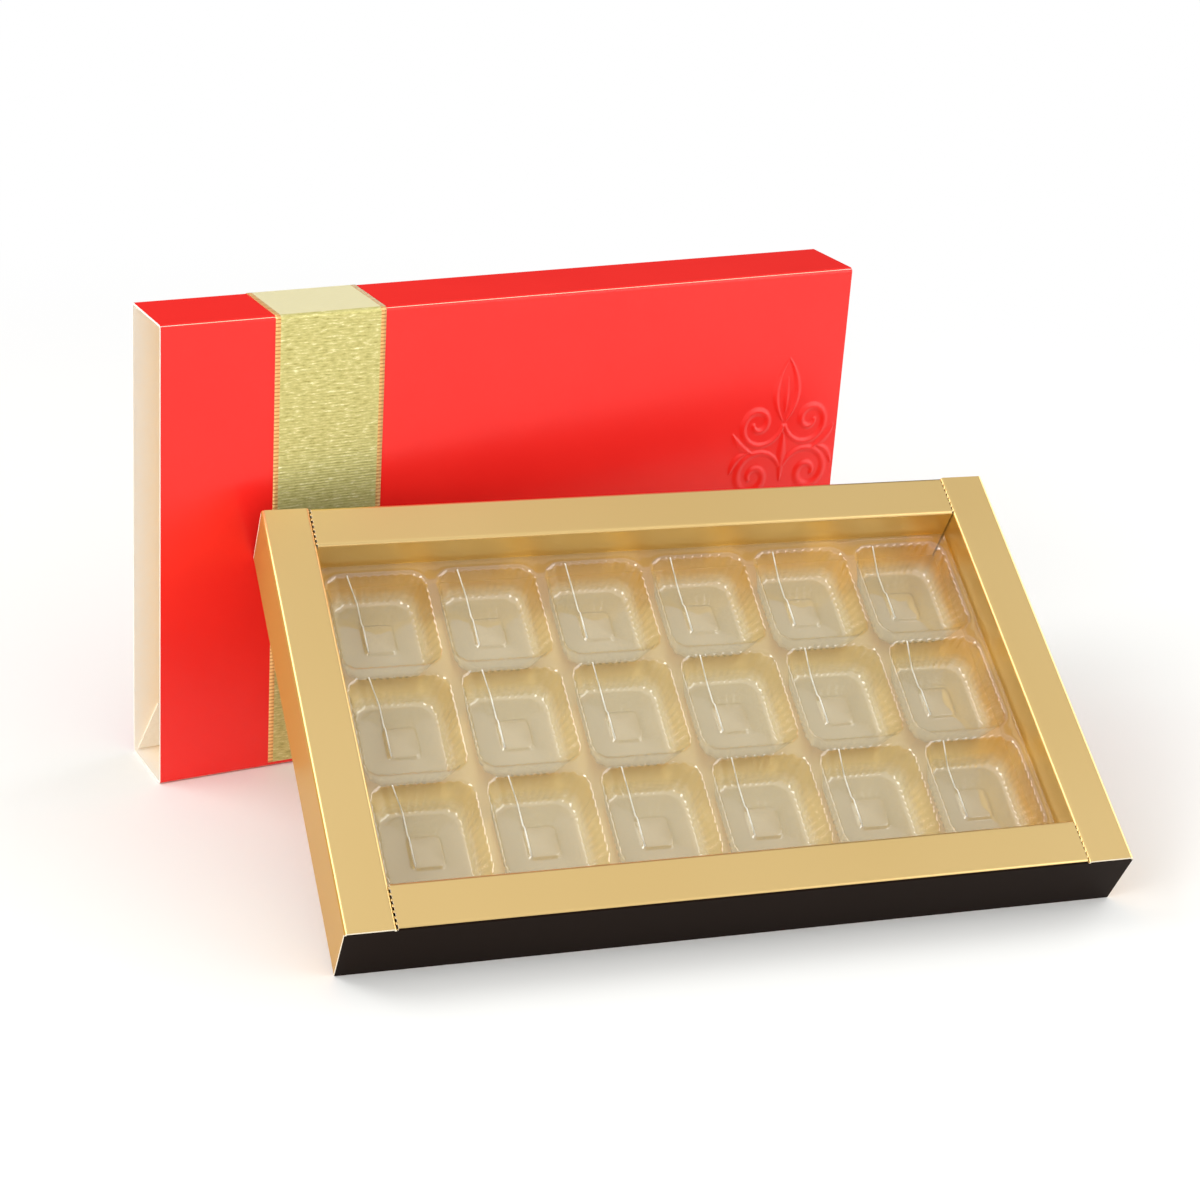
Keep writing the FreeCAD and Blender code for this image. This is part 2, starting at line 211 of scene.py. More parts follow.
# a ray that looks along the insert passes many walls of clear film
bpy.context.scene.cycles.transparent_max_bounces = 32
print("lamps, watts", [(lamp.name, round(lamp.data.energy, 1)) for lamp in lamps])

# %% [markdown]
# ## Red laminated board
# The sleeve is folding board, printed red and covered with a thin gloss film. The film is what the eye reads: a soft
# sheen over a clean colour, with a faint orange-peel skin where it follows the fibres below. Inside and along the cut
# ends the board is bare and cream. The CAD tube has the right shape, so it only needs a finish, and the finish tells
# inside from outside by place: the half thickness of the card divides them.

# %% Tell the bare side of the card from the printed one
sleeve_low, sleeve_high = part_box("sleeve_wrap")
card = 0.6 * mm
half_depth = sleeve_high.y - card / 2
half_height = (sleeve_high.z - card) / 2
cut_line = sleeve_high.x - 0.02 * mm     # only the cut ends of the card lie beyond it

red_board, tree, output = start_finish("red_laminated_board")
place = add(tree, "ShaderNodeTexCoord")
axes = add(tree, "ShaderNodeSeparateXYZ", {0: place.outputs["Object"]})
across = add(tree, "ShaderNodeMath", {0: axes.outputs["Y"]}, operation="ABSOLUTE")
level = add(tree, "ShaderNodeMath", {0: axes.outputs["Z"], 1: sleeve_high.z / 2}, operation="SUBTRACT")
level = add(tree, "ShaderNodeMath", {0: level.outputs[0]}, operation="ABSOLUTE")
along = add(tree, "ShaderNodeMath", {0: axes.outputs["X"]}, operation="ABSOLUTE")
within = add(tree, "ShaderNodeMath", {0: across.outputs[0], 1: half_depth}, operation="LESS_THAN")
between = add(tree, "ShaderNodeMath", {0: level.outputs[0], 1: half_height}, operation="LESS_THAN")
inside = add(tree, "ShaderNodeMath", {0: within.outputs[0], 1: between.outputs[0]}, operation="MULTIPLY")
cut_end = add(tree, "ShaderNodeMath", {0: along.outputs[0], 1: cut_line}, operation="GREATER_THAN")
bare = add(tree, "ShaderNodeMath", {0: inside.outputs[0], 1: cut_end.outputs[0]}, operation="MAXIMUM")
print("sleeve", [round((h - l) / mm, 1) for l, h in zip(sleeve_low, sleeve_high)], "mm")

# %% Finish the sleeve
# print mottle: patches of about 30 mm that differ by a hair
mottle = add(tree, "ShaderNodeTexNoise", {"Vector": place.outputs["Object"], "Scale": 1 / (30 * mm), "Detail": 3.0})
print_red = add(tree, "ShaderNodeMix", {"Factor": mottle.outputs["Fac"], 6: linear("#F21D17"), 7: linear("#FC271F")},
                data_type="RGBA")
# board fibres on the bare side: flecks of about 1.5 mm
fibre_size = 1.5 * mm
fibres = add(tree, "ShaderNodeTexNoise", {"Vector": place.outputs["Object"], "Scale": 1 / fibre_size, "Detail": 5.0})
# painted light: the bare card is painted pale at the tube's mouth, where the light comes in, and warmer within, for
# the glow of light through the red card, over 10 mm
painted_warmth_within = add(tree, "ShaderNodeMapRange", {"Value": along.outputs[0], "From Min": cut_line,
                                         "From Max": cut_line - 10 * mm})
fibres_and_painted_warmth = add(tree, "ShaderNodeMath", {0: fibres.outputs["Fac"], 1: 0.3, 2: painted_warmth_within.outputs["Result"]},
            operation="MULTIPLY_ADD")
bare_card_and_painted_glow = add(tree, "ShaderNodeMix", {"Factor": fibres_and_painted_warmth.outputs[0], 6: linear("#F0ECE4"), 7: linear("#FBE4C2")},
                data_type="RGBA")
colour = add(tree, "ShaderNodeMix", {"Factor": bare.outputs[0], 6: print_red.outputs[2], 7: bare_card_and_painted_glow.outputs[2]},
             data_type="RGBA")
roughness = add(tree, "ShaderNodeMapRange", {"Value": bare.outputs[0], "To Min": 0.32, "To Max": 0.9})
# orange peel of the film, about 0.9 mm from crest to crest
peel = add(tree, "ShaderNodeTexNoise", {"Vector": place.outputs["Object"], "Scale": 1 / (0.9 * mm), "Detail": 2.0})
skin = add(tree, "ShaderNodeBump", {"Height": peel.outputs["Fac"], "Strength": 0.12, "Distance": 0.02 * mm})
gloss_film = add(tree, "ShaderNodeBsdfPrincipled", {
    "Base Color": colour.outputs[2], "Roughness": roughness.outputs["Result"], "Normal": skin.outputs["Normal"],
    "Specular IOR Level": 0.4, "Coat Weight": 0.1, "Coat Roughness": 0.2,
})
tree.links.new(gloss_film.outputs[0], output.inputs["Surface"])
dress("sleeve_wrap", red_board)
print("red board is made of", len(tree.nodes), "nodes")

# %% [markdown]
# ## Bare board of the glue flap
# The flap inside the sleeve's back shows only through the open ends. It is the same card seen from its bare side:
# dull, cream, with short fibres. Its colour could be one flat cream, but the fibres make it read as paper.

# %% Finish the glue flap
bare_board, tree, output = start_finish("uncoated_cream_board")
place = add(tree, "ShaderNodeTexCoord")
fibres = add(tree, "ShaderNodeTexNoise", {"Vector": place.outputs["Object"], "Scale": 1 / fibre_size, "Detail": 5.0})
colour = add(tree, "ShaderNodeMix", {"Factor": fibres.outputs["Fac"], 6: linear("#EADDC8"), 7: linear("#F8F0E0")},
             data_type="RGBA")
nap = add(tree, "ShaderNodeBump", {"Height": fibres.outputs["Fac"], "Strength": 0.2, "Distance": 0.03 * mm})
pulp = add(tree, "ShaderNodeBsdfPrincipled", {
    "Base Color": colour.outputs[2], "Normal": nap.outputs["Normal"], "Roughness": 0.92, "Specular IOR Level": 0.2,
})
tree.links.new(pulp.outputs[0], output.inputs["Surface"])
dress("sleeve_glue_flap", bare_board)

# %% [markdown]
# ## The pressed ornament
# Near the lower right of the front a scroll ornament is pressed up from behind, without ink. It could be a bump in
# the shader, but a raised form that the light strikes is real shape, so it is mesh: a fine grid lies on the panel,
# and each of its points rises by its nearness to the strokes of the ornament. The strokes are a pointed leaf, pairs
# of volutes and a drop below, of a kind long used on book covers, drawn here on one side and mirrored.

# %% Draw the strokes of the ornament
def volute(centre, start_radius, end_radius, start_angle, turns, swell):
    """A scroll that winds in: points and half widths, in millimetres from the middle of the ornament."""
    share = np.linspace(0, 1, 160)
    radius = start_radius * (end_radius / start_radius) ** share
    angle = np.radians(start_angle) + 2 * math.pi * turns * share
    points = np.stack([centre[0] + radius * np.cos(angle), centre[1] + radius * np.sin(angle)], axis=1)
    return points, swell * (0.35 + 0.65 * np.sin(math.pi * (0.12 + 0.8 * share)))


def sweep(corners, swell):
    """A tapered stroke: a quadratic curve from the first corner to the third, drawn towards the second."""
    first, second, third = np.array(corners, float)
    share = np.linspace(0, 1, 90)[:, None]
    points = (1 - share) ** 2 * first + 2 * share * (1 - share) * second + share ** 2 * third
    return points, swell * (0.15 + 0.85 * np.sin(math.pi * share[:, 0]))


one_side = [
    sweep([(0, 29.5), (-6.5, 20), (-0.6, 11.5)], 1.3),          # outline of the pointed leaf
    volute((-8.2, 11.2), 8.0, 1.6, 350, -1.45, 1.5),            # upper volute
    volute((-8.6, -4.2), 8.4, 1.7, 20, 1.5, 1.7),               # lower volute
    sweep([(-9.5, 2.8), (-14, 4.5), (-16.2, 9.0)], 1.6),        # side leaf
    sweep([(-10.5, 3.4), (-15.5, 2.2), (-16.4, -2.5)], 1.4),    # side leaf, turned down
    sweep([(-1.2, -11), (-5.2, -19), (0, -29.0)], 1.4),         # outline of the drop
    sweep([(-2.5, -13), (-9.5, -13), (-11.5, -19.5)], 1.5),     # low leaf
]
middle = [
    sweep([(0, 24), (0, 19), (0, 14)], 1.0),                    # vein of the leaf
    sweep([(0, 8), (0, 2), (0, -6)], 1.8),                      # stem between the volutes
    sweep([(0, -14), (0, -19), (0, -24)], 1.1),                 # vein of the drop
]
strokes = middle + one_side + [(points * (-1, 1), width) for points, width in one_side]
print(len(strokes), "strokes of", sum(len(points) for points, width in strokes), "points")

# %% Raise the ornament from a grid
relief_middle = Vector((90.5 * mm, sleeve_low.y, 77.0 * mm))
relief_half = (19.2 * mm, 34.0 * mm)
relief_scale = 1.12
grid_step = 0.25 * mm
relief_height, skin_height = 0.42 * mm, 0.01 * mm    # the strokes, and the flat field between them
reach_margin = 0.1                                   # millimetres, as the strokes are

relief = bmesh.new()
bmesh.ops.create_grid(relief, x_segments=round(2 * relief_half[0] / grid_step),
                      y_segments=round(2 * relief_half[1] / grid_step), size=1.0)
bmesh.ops.scale(relief, vec=(*relief_half, 1), verts=relief.verts)
flat = np.array([vert.co[:2] for vert in relief.verts]) / (relief_scale * mm)
raised = np.zeros(len(flat))
for points, width in strokes:
    reach = width.max() + reach_margin
    near = np.where(((flat > points.min(0) - reach) & (flat < points.max(0) + reach)).all(1))[0]
    gap = np.linalg.norm(flat[near, None, :] - points[None, :, :], axis=2) / width[None, :]
    closeness = np.clip(1 - gap.min(1), 0, 1)
    raised[near] = np.maximum(raised[near], closeness * closeness * (3 - 2 * closeness))
for vert, share in zip(relief.verts, raised):
    vert.co.z = skin_height + relief_height * share
print("ornament covers", round(100 * float((raised > 0).mean())), "percent of its field")

# %% Close the ornament and set it on the panel
# the rim of the grid is folded back into the card, and the back is closed
tuck = 0.2 * mm
rim_edges = [edge for edge in relief.edges if edge.is_boundary]
for edge in rim_edges:
    edge.smooth = False
folded = bmesh.ops.extrude_edge_only(relief, edges=rim_edges)["geom"]
bmesh.ops.translate(relief, vec=(0, 0, -tuck), verts=[g for g in folded if isinstance(g, bmesh.types.BMVert)])
bmesh.ops.contextual_create(relief, geom=[g for g in folded if isinstance(g, bmesh.types.BMEdge) and g.is_boundary])
# the grid lies in X and Y with its face up: turn it to face the front, and set it on the panel
stand_up = Matrix.Translation(relief_middle) @ Matrix.Rotation(math.radians(90), 4, "X")
bmesh.ops.transform(relief, matrix=stand_up, verts=relief.verts)
bmesh.ops.recalc_face_normals(relief, faces=relief.faces)


def make_piece(name, mesh, body, finish):
    """Turns a bmesh into a smooth object with a finish, which rides on a body."""
    piece = bpy.data.objects.new(name, bpy.data.meshes.new(name))
    for face in mesh.faces:
        face.smooth = True
    mesh.to_mesh(piece.data)
    mesh.free()
    bpy.context.scene.collection.objects.link(piece)
    piece.data.materials.append(finish)
    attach(piece, body)
    triangles = sum(len(polygon.vertices) - 2 for polygon in piece.data.polygons)
    print(name, "has", triangles, "triangles and measures", [round(d / mm, 2) for d in piece.dimensions], "mm")
    return piece


pressed_scroll = make_piece("pressed_scroll", relief, "sleeve", red_board)

# %% [markdown]
# ## The gold ribbon
# A woven ribbon runs up the front, over the top and down the back. Its weft is flat metal-wrapped thread, which lies
# in fine ribs and glints unevenly. Both edges are firm selvedges of a warmer thread with a row of stitches. The CAD
# band holds its place. The woven one is a strip of grid, laid along the path over the folds, its rows lifted into
# ribs and its edges into cords, then given its thickness.

# %% Lay out the ribbon's path
band_low, band_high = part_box("gold_band")
ribbon_width = band_high.x - band_low.x
ribbon_middle = (band_low.x + band_high.x) / 2
fold_radius = 1.4 * mm
rise = band_high.z - fold_radius - band_low.z
run = 2 * (band_high.y - fold_radius)
bend = fold_radius * math.pi / 2
ribbon_length = 2 * rise + 2 * bend + run


def on_ribbon(s):
    """Where a distance along the ribbon lies, as Y and Z, with the direction that points outwards there."""
    if s > ribbon_length / 2:
        y, z, out_y, out_z = on_ribbon(ribbon_length - s)
        return -y, z, -out_y, out_z
    corner_y, corner_z = band_low.y + fold_radius, band_high.z - fold_radius
    if s <= rise:
        return band_low.y, band_low.z + s, -1.0, 0.0
    if s <= rise + bend:
        angle = (s - rise) / fold_radius
        out_y, out_z = -math.cos(angle), math.sin(angle)
        return corner_y + fold_radius * out_y, corner_z + fold_radius * out_z, out_y, out_z
    return corner_y + (s - rise - bend), band_high.z, 0.0, 1.0


print("ribbon", round(ribbon_length / mm, 1), "by", round(ribbon_width / mm, 1), "mm")

# %% Weave the ribbon's mesh
rib_pitch = 0.8 * mm      # real weft is nearer to 0.4 mm, which is too fine to show
rib_height = 0.035 * mm
selvedge, selvedge_height = 1.5 * mm, 0.10 * mm
settle = 0.04 * mm        # the weave lies this far below the face of the band
ribbon_thickness = 0.14 * mm
ribbon_columns, rows_per_rib = 22, 4

woven = bmesh.new()
bmesh.ops.create_grid(woven, x_segments=ribbon_columns, y_segments=round(ribbon_length / (rib_pitch / rows_per_rib)),
                      size=0.5)
sheet_map = woven.loops.layers.uv.new("weave")
for face in woven.faces:
    for loop in face.loops:
        loop[sheet_map].uv = ((loop.vert.co.x + 0.5) * ribbon_width, (loop.vert.co.y + 0.5) * ribbon_length)
for vert in woven.verts:
    across, s = vert.co.x * ribbon_width, (vert.co.y + 0.5) * ribbon_length
    y, z, out_y, out_z = on_ribbon(s)
    to_edge = ribbon_width / 2 - abs(across)
    cord = max(0.0, math.sin(math.pi * min(to_edge / selvedge, 1.0))) * selvedge_height
    lift = cord + rib_height * math.cos(2 * math.pi * s / rib_pitch) - settle
    vert.co = (ribbon_middle + across, y + lift * out_y, z + lift * out_z)
bmesh.ops.recalc_face_normals(woven, faces=woven.faces)
if sum((face.normal.z > 0.5) - (face.normal.z < -0.5) for face in woven.faces) < 0:
    bmesh.ops.reverse_faces(woven, faces=woven.faces)
bmesh.ops.solidify(woven, geom=woven.faces[:], thickness=ribbon_thickness)
print("weave", len(woven.faces), "faces")

# %% [markdown]
# ## Weave of metal thread
# Metal-wrapped thread has the colour of pale brass. Each thread twists as it runs, so its glints are short dashes
# along the weft, bright next to dark. These glints are partly painted: the colour itself is made pale and dark in
# dashes, beside the real glints from the bump and roughness. The pattern follows the strip's own map, in metres across
# and along, so it turns over the folds with the ribbon.

# %% Colour the glints and the selvedges
lame, tree, output = start_finish("gold_lame_weave")
weave = add(tree, "ShaderNodeUVMap", uv_map="weave")
axes = add(tree, "ShaderNodeSeparateXYZ", {0: weave.outputs["UV"]})
glint_length, glint_height = 2.6 * mm, 0.7 * mm
dash_space = add(tree, "ShaderNodeMapping", {"Vector": weave.outputs["UV"],
                                             "Scale": (1 / glint_length, 1 / glint_height, 1)})
dashes = add(tree, "ShaderNodeTexNoise", {"Vector": dash_space.outputs[0], "Scale": 1.0, "Detail": 3.0,
                                          "Roughness": 0.65})
# painted glints: pale and dark dashes in the thread's colour
painted_glint_tone = add(tree, "ShaderNodeValToRGB", {"Fac": dashes.outputs["Fac"]})
stops = painted_glint_tone.color_ramp.elements
stops[0].position, stops[0].color = 0.28, linear("#A69A52")
stops[1].position, stops[1].color = 0.72, linear("#FFF9C6")
for where, tone in ((0.42, "#C6BD74"), (0.58, "#D8CF88")):
    stops.new(where).color = linear(tone)
# selvedges: a warmer thread near either edge, with its stitches
stitch_pitch, selvedge_blur = 1.1 * mm, 0.1 * mm
selvedge_line = ribbon_width / 2 - selvedge
from_middle = add(tree, "ShaderNodeMath", {0: axes.outputs["X"], 1: ribbon_width / 2}, operation="SUBTRACT")
from_middle = add(tree, "ShaderNodeMath", {0: from_middle.outputs[0]}, operation="ABSOLUTE")
edge_band = add(tree, "ShaderNodeMapRange", {"Value": from_middle.outputs[0],
                                             "From Min": selvedge_line - selvedge_blur,
                                             "From Max": selvedge_line + selvedge_blur})
stitch = add(tree, "ShaderNodeMath", {0: axes.outputs["Y"], 1: 2 * math.pi / stitch_pitch}, operation="MULTIPLY")
stitch = add(tree, "ShaderNodeMath", {0: stitch.outputs[0]}, operation="SINE")
stitch_row = add(tree, "ShaderNodeMapRange", {"Value": stitch.outputs[0], "From Min": 0.1, "From Max": 0.7})
thread = add(tree, "ShaderNodeMix", {"Factor": stitch_row.outputs["Result"], 6: linear("#F2BE78"),
                                     7: linear("#C98A48")}, data_type="RGBA")
print("stitches along a selvedge", round(ribbon_length / stitch_pitch))

# %% Finish the ribbon
# painted sheen: seen along the surface, the crests of the ribs hide the gaps and catch the light, and this paleness is
# painted into the colour
slant = add(tree, "ShaderNodeLayerWeight", {"Blend": 0.5})
painted_sheen_share = add(tree, "ShaderNodeMapRange", {"Value": slant.outputs["Facing"], "From Min": 0.35, "From Max": 0.62})
sheen_painted_colour = add(tree, "ShaderNodeMix", {"Factor": painted_sheen_share.outputs["Result"], 6: painted_glint_tone.outputs["Color"],
                                     7: linear("#FFF6C2")}, data_type="RGBA")
colour = add(tree, "ShaderNodeMix", {"Factor": edge_band.outputs["Result"], 6: sheen_painted_colour.outputs[2],
                                     7: thread.outputs[2]}, data_type="RGBA")
twist = add(tree, "ShaderNodeBump", {"Height": dashes.outputs["Fac"], "Strength": 0.6, "Distance": 0.15 * mm})
roughness = add(tree, "ShaderNodeMapRange", {"Value": dashes.outputs["Fac"], "From Min": 0.3, "From Max": 0.7,
                                             "To Min": 0.5, "To Max": 0.28})
metal_thread = add(tree, "ShaderNodeBsdfPrincipled", {
    "Base Color": colour.outputs[2], "Roughness": roughness.outputs["Result"], "Normal": twist.outputs["Normal"],
    "Metallic": 0.4, "Sheen Weight": 0.8, "Sheen Roughness": 0.35, "Sheen Tint": linear("#FFF6D8"),
})
tree.links.new(metal_thread.outputs[0], output.inputs["Surface"])
ribbon = make_piece("woven_ribbon", woven, "sleeve", lame)
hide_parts("gold_band")

# %% [markdown]
# ## Where the tray leans
# The tray was drawn flat and then turned: tilted about its front edge, turned a little to the right. Patterns and
# pieces of the tray are easier to think of in its own flat frame, so one matrix carries that frame to its place, and
# one small function brings a pattern back into it.

# %% The tray's own frame
tray_turn = (math.radians(29.8), 0.0, math.radians(-10.5))
tray_spot = Vector((3.0 * mm, -147.165 * mm, 0))
tray_stand = (Matrix.Translation(tray_spot) @ Matrix.Rotation(tray_turn[2], 4, "Z")
              @ Matrix.Rotation(tray_turn[0], 4, "X"))
tray_length, tray_width, tray_height = 218.0 * mm, 134.9 * mm, 20.8 * mm
ledge, seam = 13.4 * mm, 0.35 * mm


def place_on_tray(tree):
    """Places in the tray's flat frame: along it from its middle, across it from its front edge, and up."""
    place = add(tree, "ShaderNodeTexCoord")
    return add(tree, "ShaderNodeMapping", {"Vector": place.outputs["Object"], "Location": tray_spot,
                                           "Rotation": tray_turn}, vector_type="TEXTURE").outputs[0]


for corner in ((-tray_length / 2, 0, 0), (tray_length / 2, tray_width, tray_height)):
    print("tray corner at", [round(v / mm, 1) for v in tray_stand @ Vector(corner)])

# %% [markdown]
# ## Gold metallised board
# The tray is card with a metallised film on its face: a true metal layer, softened to satin by the card under it.
# Nearly all that the eye sees is reflection, so the finish is metal with a fine tooth and a slow waviness that bends
# the reflections a little. Where the blank was cut, the cream core of the board shows as a thin line. Long and short
# rails were cut across different axes, and their outer walls are coloured differently, so each pair of rails has
# a finish of its own: the short rails' walls are printed in a matt gold ink, and the long rails' walls are painted
# near-black, a painted shade that stands for a dark reflection.

# %% Finish the tray's board
square_on = 0.98          # a face is a cut edge where its normal follows the cut axis this closely


def gold_board(name, cut_axis, wall_colour, wall_metal):
    """Metallised card. Its cut edges face along cut_axis, an axis of the tray: 0 along it, 1 across it. The outer
    wall, square to the cut edges, is covered with wall_colour, which leaves a share of the metal showing: a matt
    gold ink on the short rails, and on the long rails a near-black painted shade that stands for a dark reflection."""
    material, tree, output = start_finish(name)
    flat_place = place_on_tray(tree)
    # slow tone change over about 60 mm, and a fine tooth of 0.3 mm
    slow = add(tree, "ShaderNodeTexNoise", {"Vector": flat_place, "Scale": 1 / (60 * mm), "Detail": 1.0})
    tone = add(tree, "ShaderNodeMix", {"Factor": slow.outputs["Fac"], 6: linear("#EBC985"), 7: linear("#F2D393")},
               data_type="RGBA")
    tooth = add(tree, "ShaderNodeTexNoise", {"Vector": flat_place, "Scale": 1 / (0.3 * mm), "Detail": 1.0})
    # the cream core, where the board was cut
    facing = add(tree, "ShaderNodeNewGeometry")
    edge_on = add(tree, "ShaderNodeVectorMath", {0: facing.outputs["True Normal"],
                                                 1: tray_stand.to_3x3().col[cut_axis]}, operation="DOT_PRODUCT")
    edge_on = add(tree, "ShaderNodeMath", {0: edge_on.outputs["Value"]}, operation="ABSOLUTE")
    cut = add(tree, "ShaderNodeMath", {0: edge_on.outputs[0], 1: square_on}, operation="GREATER_THAN")
    # the wall colour, on all that lies in the outer half of the outer wall's card: ink on the short rails, painted
    # shade on the long ones
    axes = add(tree, "ShaderNodeSeparateXYZ", {0: flat_place})
    centre, wall = ((tray_width / 2, tray_width / 2), (0.0, tray_length / 2))[cut_axis]
    out = add(tree, "ShaderNodeMath", {0: axes.outputs["YX"[cut_axis]], 1: centre}, operation="SUBTRACT")
    out = add(tree, "ShaderNodeMath", {0: out.outputs[0]}, operation="ABSOLUTE")
    outer_wall = add(tree, "ShaderNodeMath", {0: out.outputs[0], 1: wall - card / 2}, operation="GREATER_THAN")
    tone = add(tree, "ShaderNodeMix", {"Factor": outer_wall.outputs[0], 6: tone.outputs[2], 7: linear(wall_colour)},
               data_type="RGBA")
    colour = add(tree, "ShaderNodeMix", {"Factor": cut.outputs[0], 6: tone.outputs[2], 7: linear("#F3E7CF")},
                 data_type="RGBA")
    outer_wall_matt = add(tree, "ShaderNodeMath", {0: outer_wall.outputs[0], 1: 1 - wall_metal}, operation="MULTIPLY")
    dull = add(tree, "ShaderNodeMath", {0: outer_wall_matt.outputs[0], 1: cut.outputs[0]}, operation="MAXIMUM")
    metal = add(tree, "ShaderNodeMath", {0: 1.0, 1: dull.outputs[0]}, operation="SUBTRACT")
    satin = add(tree, "ShaderNodeMapRange", {"Value": tooth.outputs["Fac"], "From Min": 0.3, "From Max": 0.7,
                                             "To Min": 0.30, "To Max": 0.315})
    # the card bows a little, over about 18 mm
    waves = add(tree, "ShaderNodeTexNoise", {"Vector": flat_place, "Scale": 1 / (18 * mm), "Detail": 0.0})
    bowed = add(tree, "ShaderNodeBump", {"Height": waves.outputs["Fac"], "Strength": 0.3, "Distance": 0.15 * mm})
    foil = add(tree, "ShaderNodeBsdfPrincipled", {
        "Base Color": colour.outputs[2], "Metallic": metal.outputs[0], "Roughness": satin.outputs["Result"],
        "Normal": bowed.outputs["Normal"], "Specular IOR Level": 0.03,
    })
    tree.links.new(foil.outputs[0], output.inputs["Surface"])
    return material


long_board_painted_shade = gold_board("gold_metallised_board_long", 0, "#1A0F08", 0.0)       # near-black painted shade and painted dark reflection on the outer walls
short_board = gold_board("gold_metallised_board_short", 1, "#C0934A", 0.25)    # matt gold print
tray_nodes = frame["record"]["behaviour"]["bodies"]["tray"]
for name in tray_nodes:
    dress(name, short_board if name in ("left_rail", "right_rail") else long_board_painted_shade)
print("gold board on", len(tray_nodes), "nodes")

# %% [markdown]
# ## Nicks in the corner seams
# The ledges of the long and short rails meet at a slit. The cutting die leaves small uncut nicks across it, so the
# slit reads as a row of dark dashes. A dashed line in the finish would stay flat, so each nick is a short bevelled
# bar across the gap, flush with the ledge.

# %% Bridge the slits with nicks
nick_length, nick_pitch, nicks_in_slit = 0.7 * mm, 1.7 * mm, 7
nick_overlap, nick_thickness = 0.3 * mm, 0.4 * mm
nick_level = tray_height - 0.21 * mm                       # its top lies 0.01 mm below the ledge
slit_starts = (1.4 * mm, tray_width - ledge + 0.6 * mm)    # at the front and at the back

nicks = bmesh.new()
for side in (-1, 1):
    for start in slit_starts:
        for step in range(nicks_in_slit):
            made = bmesh.ops.create_cube(nicks, size=1.0)["verts"]
            bmesh.ops.scale(nicks, vec=(seam + nick_overlap, nick_length, nick_thickness), verts=made)
            bmesh.ops.translate(nicks, verts=made, vec=(
                side * (tray_length / 2 - ledge - seam / 2),
                start + step * nick_pitch + nick_length / 2,
                nick_level,
            ))
bmesh.ops.bevel(nicks, geom=nicks.edges[:], offset=0.08 * mm, segments=1, profile=0.5, affect="EDGES", material=-1)
bmesh.ops.transform(nicks, matrix=tray_stand, verts=nicks.verts)
seam_nicks = make_piece("seam_nicks", nicks, "tray", short_board)

# %% [markdown]
# ## The moulded insert
# The insert is one sheet of clear film, drawn hot into eighteen cups with narrow webs between them. Its folds are what
# catches the light: a soft lip round each mouth, a rounded foot at each floor, and fine flutes down the walls that
# stiffen them. The CAD sheet has plain sloped cups, so it is replaced. One tile is a strip of grid, wrapped round the
# cup: every column runs from the edge of the tile over the lip, down the wall and in over the floor. The tile is then
# copied, welded and given its thickness.

# %% The cup's outline
pitch = (31.6 * mm, 34.8 * mm)
mouth = (27.6 * mm, 31.0 * mm)
mouth_radius, floor_radius = 4.4 * mm, 5.0 * mm
side_steps, corner_steps, flute_columns = (28, 32), 10, 4

columns = []      # for each column: which part of the inner rectangle it starts from, and where it faces
for quarter in range(4):
    run_axis = 1 - quarter % 2
    for step in range(side_steps[run_axis]):
        share = 2 * step / side_steps[run_axis] - 1
        columns.append((Matrix.Rotation(quarter * math.pi / 2, 2) @ Vector((1, share)), quarter * math.pi / 2))
    for step in range(corner_steps):
        columns.append((Matrix.Rotation(quarter * math.pi / 2, 2) @ Vector((1, 1)),
                        (quarter + step / corner_steps) * math.pi / 2))


def ring_spot(column, half, radius, flute):
    """Where a column crosses a rounded rectangle, moved in or out by the flutes."""
    corner, facing = columns[column]
    outwards = Vector((math.cos(facing), math.sin(facing)))
    core = Vector((corner.x * (half[0] - radius), corner.y * (half[1] - radius)))
    return core + outwards * (radius + flute * math.cos(column * 2 * math.pi / flute_columns))


print(len(columns), "columns to a cup,", len(columns) // flute_columns, "flutes")

# %% The cup's section
# corners of the section: how far out from the mouth, and how high; the folds between them are rounded
web_middle, rim = Vector((2.0, 11.5)) * mm, Vector((0.0, 11.5)) * mm
foot, floor_middle = Vector((-2.5, 1.3)) * mm, Vector((-8.0, 1.3)) * mm
cup_depth = rim.y - foot.y
profile = []      # rings of the cup, from the web in: half sizes, corner radius, height, depth of the flutes


def section_ring(spot, flute):
    """A ring of the cup, set out from the plain mouth. Its corners widen towards the floor."""
    outset, height = spot
    deep = (rim.y - height) / cup_depth
    radius = mouth_radius + (floor_radius - mouth_radius) * deep + max(outset, 0)
    profile.append(((mouth[0] / 2 + outset, mouth[1] / 2 + outset), radius, height, flute * mm))


def fold(before, corner, after, reach, flutes):
    """Rings over a fold: a quadratic curve that leaves and meets the two straight runs at a reach from the corner."""
    start, end = (corner + reach * mm * (run_end - corner).normalized() for run_end in (before, after))
    for step, flute in enumerate(flutes):
        share = step / (len(flutes) - 1)
        section_ring((1 - share) ** 2 * start + 2 * share * (1 - share) * corner + share ** 2 * end, flute)


section_ring(rim + Vector((1.2, 0)) * mm, 0)
fold(web_middle, rim, foot, 1.1, (0, 0.06, 0.14, 0.2, 0.24))
section_ring(rim.lerp(foot, 0.5), 0.28)
fold(rim, foot, floor_middle, 1.0, (0.28, 0.28, 0.2, 0))
section_ring(foot - Vector((1.15, 0)) * mm, 0)
wall_rings = profile[3:]      # from the middle of the lip to the floor
# a nearly square island on the floor lifts the sweet a little; its last ring shrinks to the middle point
island_ratio, island_radius = 1.1, 1.6
for half, lift in ((5.0, 0), (4.65, 0.15), (4.3, 0.85), (4.0, 1), (0, 1)):
    profile.append(((half * mm, island_ratio * half * mm), min(half, island_radius) * mm, foot.y + lift * mm, 0))
print(len(profile) + 1, "rings to a cup,", round(cup_depth / mm, 1), "mm deep")

